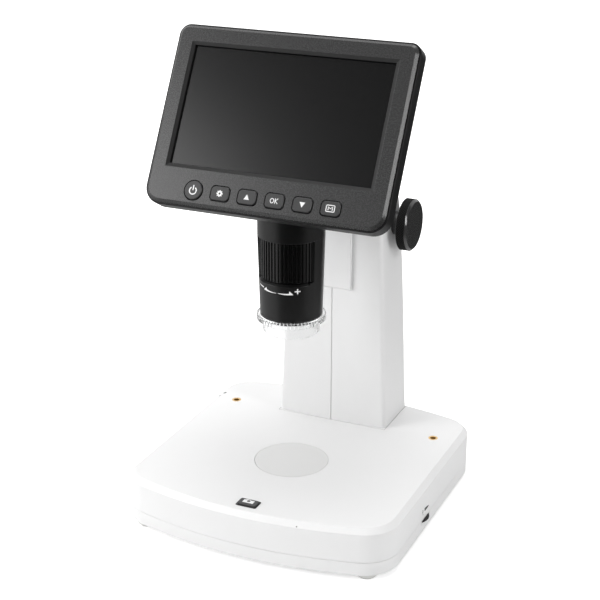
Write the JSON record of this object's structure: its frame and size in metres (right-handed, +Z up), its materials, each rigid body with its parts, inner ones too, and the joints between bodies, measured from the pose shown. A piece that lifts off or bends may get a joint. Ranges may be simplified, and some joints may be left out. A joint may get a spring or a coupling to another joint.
{
  "type": "lcd digital microscope",
  "caption": "Desktop digital microscope: tilting screen over a barrel with a focus ring and clear tip, on a rack-driven slide rising from a column above a lit base.",
  "frame": {"origin": "on the table under the middle of the base's bounding box", "axes": "+Z up, +X to the right of a person facing the screen, -Y towards that person; the optical axis, the column and the slide stand in the plane X = 0"},
  "size_m": [0.1606, 0.1626, 0.2668],
  "materials": {
    "white_housing": "satin white moulded plastic",
    "dark_housing": "satin dark grey moulded plastic",
    "black_plastic": "matte black moulded plastic",
    "grey_bezel": "satin dark grey moulded plastic",
    "grey_key": "satin dark grey plastic with white marks",
    "screen_glass": "clear polished cover glass",
    "clear_plastic": "clear moulded plastic",
    "lens_glass": "coated optical glass",
    "white_diffuser": "milky translucent plastic",
    "white_foot": "off-white moulded rubber",
    "brass": "turned brass",
    "steel": "plain steel",
    "weight_steel": "blackened steel plate",
    "aluminium": "anodised aluminium",
    "black_aluminium": "black anodised aluminium",
    "circuit_board": "green circuit board with components",
    "lcd_dark": "unlit display panel",
    "cell_wrap": "foil-wrapped cell"
  },
  "bodies": {
    "stand": {"base_housing": "white_housing", "base_tray": "white_housing", "rubber_feet": "white_foot", "base_weight": "weight_steel", "stage_disc": "white_diffuser", "light_well": "white_diffuser", "stage_lamp_board": "circuit_board", "shutter_frame": "black_plastic", "shutter_board": "circuit_board", "clip_inserts": "brass", "dimmer_pot": "black_plastic", "switch_body": "black_plastic", "supply_board": "circuit_board", "power_socket": "steel", "column_left_shell": "white_housing", "column_right_shell": "white_housing", "column_screws": "steel", "foot_plate": "aluminium", "base_screws": "steel", "guide_channel": "aluminium", "shaft_bushes": "brass", "shaft_hub": "black_plastic"},
    "drive_knob": {"focus_knob": "black_aluminium", "pinion_shaft": "steel"},
    "head": {"mast": "aluminium", "rack": "brass", "slide_block": "white_housing", "slide_cover": "white_housing", "mast_cap": "white_housing", "head_arm": "white_housing", "barrel_sleeve": "black_plastic", "barrel_head": "black_plastic", "camera_board": "circuit_board", "lamp_ring": "circuit_board", "clear_tip": "clear_plastic", "tilt_bracket": "dark_housing", "tilt_pin": "steel", "bracket_screws": "steel"},
    "ring": {"focus_ring": "black_plastic"},
    "lens": {"lens_carrier": "black_aluminium", "objective_lens": "lens_glass"},
    "monitor": {"monitor_bezel": "grey_bezel", "monitor_shell": "dark_housing", "screen_glass": "screen_glass", "lcd_panel": "lcd_dark", "logic_board": "circuit_board", "battery": "cell_wrap", "keypad_board": "circuit_board", "monitor_screws": "steel", "tilt_knuckle": "dark_housing"},
    "shutter": {"shutter_button": "black_plastic"},
    "dimmer": {"dimmer_wheel": "black_plastic"},
    "light_switch": {"switch_nub": "black_plastic"},
    "key_power": {"button_power": "grey_key"},
    "key_settings": {"button_settings": "grey_key"},
    "key_up": {"button_up": "grey_key"},
    "key_ok": {"button_ok": "grey_key"},
    "key_down": {"button_down": "grey_key"},
    "key_mode": {"button_mode": "grey_key"}
  },
  "joints": [
    {"name": "head_slide", "type": "slide", "parent": "stand", "child": "head", "axis": [0, 0, 1], "range_m": [-0.045, 0.004]},
    {"name": "knob_turn", "type": "hinge", "parent": "stand", "child": "drive_knob", "pos_m": [0, 0.06195, 0.1498], "axis": [-1, 0, 0], "range_deg": [-478.5, 43.4]},
    {"name": "monitor_tilt", "type": "hinge", "parent": "head", "child": "monitor", "pos_m": [0, -0.00742, 0.20706], "axis": [-1, 0, 0], "range_deg": [0, 35]},
    {"name": "lens_travel", "type": "slide", "parent": "head", "child": "lens", "axis": [0, 0, 1], "range_m": [-0.003, 0.003]},
    {"name": "ring_turn", "type": "hinge", "parent": "head", "child": "ring", "pos_m": [0, -0.01605, 0.151], "axis": [0, 0, 1], "range_deg": [-121, 121]},
    {"name": "press_power", "type": "slide", "parent": "monitor", "child": "key_power", "axis": [0, 0.871, -0.4914], "range_m": [0, 0.0005], "stiffness_N_per_m": 1500, "springref_m": -0.0003},
    {"name": "press_settings", "type": "slide", "parent": "monitor", "child": "key_settings", "axis": [0, 0.871, -0.4914], "range_m": [0, 0.0005], "stiffness_N_per_m": 1500, "springref_m": -0.0003},
    {"name": "press_up", "type": "slide", "parent": "monitor", "child": "key_up", "axis": [0, 0.871, -0.4914], "range_m": [0, 0.0005], "stiffness_N_per_m": 1500, "springref_m": -0.0003},
    {"name": "press_ok", "type": "slide", "parent": "monitor", "child": "key_ok", "axis": [0, 0.871, -0.4914], "range_m": [0, 0.0005], "stiffness_N_per_m": 1500, "springref_m": -0.0003},
    {"name": "press_down", "type": "slide", "parent": "monitor", "child": "key_down", "axis": [0, 0.871, -0.4914], "range_m": [0, 0.0005], "stiffness_N_per_m": 1500, "springref_m": -0.0003},
    {"name": "press_mode", "type": "slide", "parent": "monitor", "child": "key_mode", "axis": [0, 0.871, -0.4914], "range_m": [0, 0.0005], "stiffness_N_per_m": 1500, "springref_m": -0.0003},
    {"name": "press_shutter", "type": "slide", "parent": "stand", "child": "shutter", "axis": [0, 0, -1], "range_m": [0, 0.0006], "stiffness_N_per_m": 1500, "springref_m": -0.0003},
    {"name": "dimmer_turn", "type": "hinge", "parent": "stand", "child": "dimmer", "pos_m": [0.0713, -0.0127, 0.009], "axis": [0, 0, 1], "range_deg": [-135, 135]},
    {"name": "switch_slide", "type": "slide", "parent": "stand", "child": "light_switch", "axis": [0, -1, 0], "range_m": [0, 0.003]}
  ],
  "couplings": [
    {"joint": "knob_turn", "follows": "head_slide", "rad_per_m": 185.19},
    {"joint": "ring_turn", "follows": "lens_travel", "rad_per_m": -698.13}
  ]
}
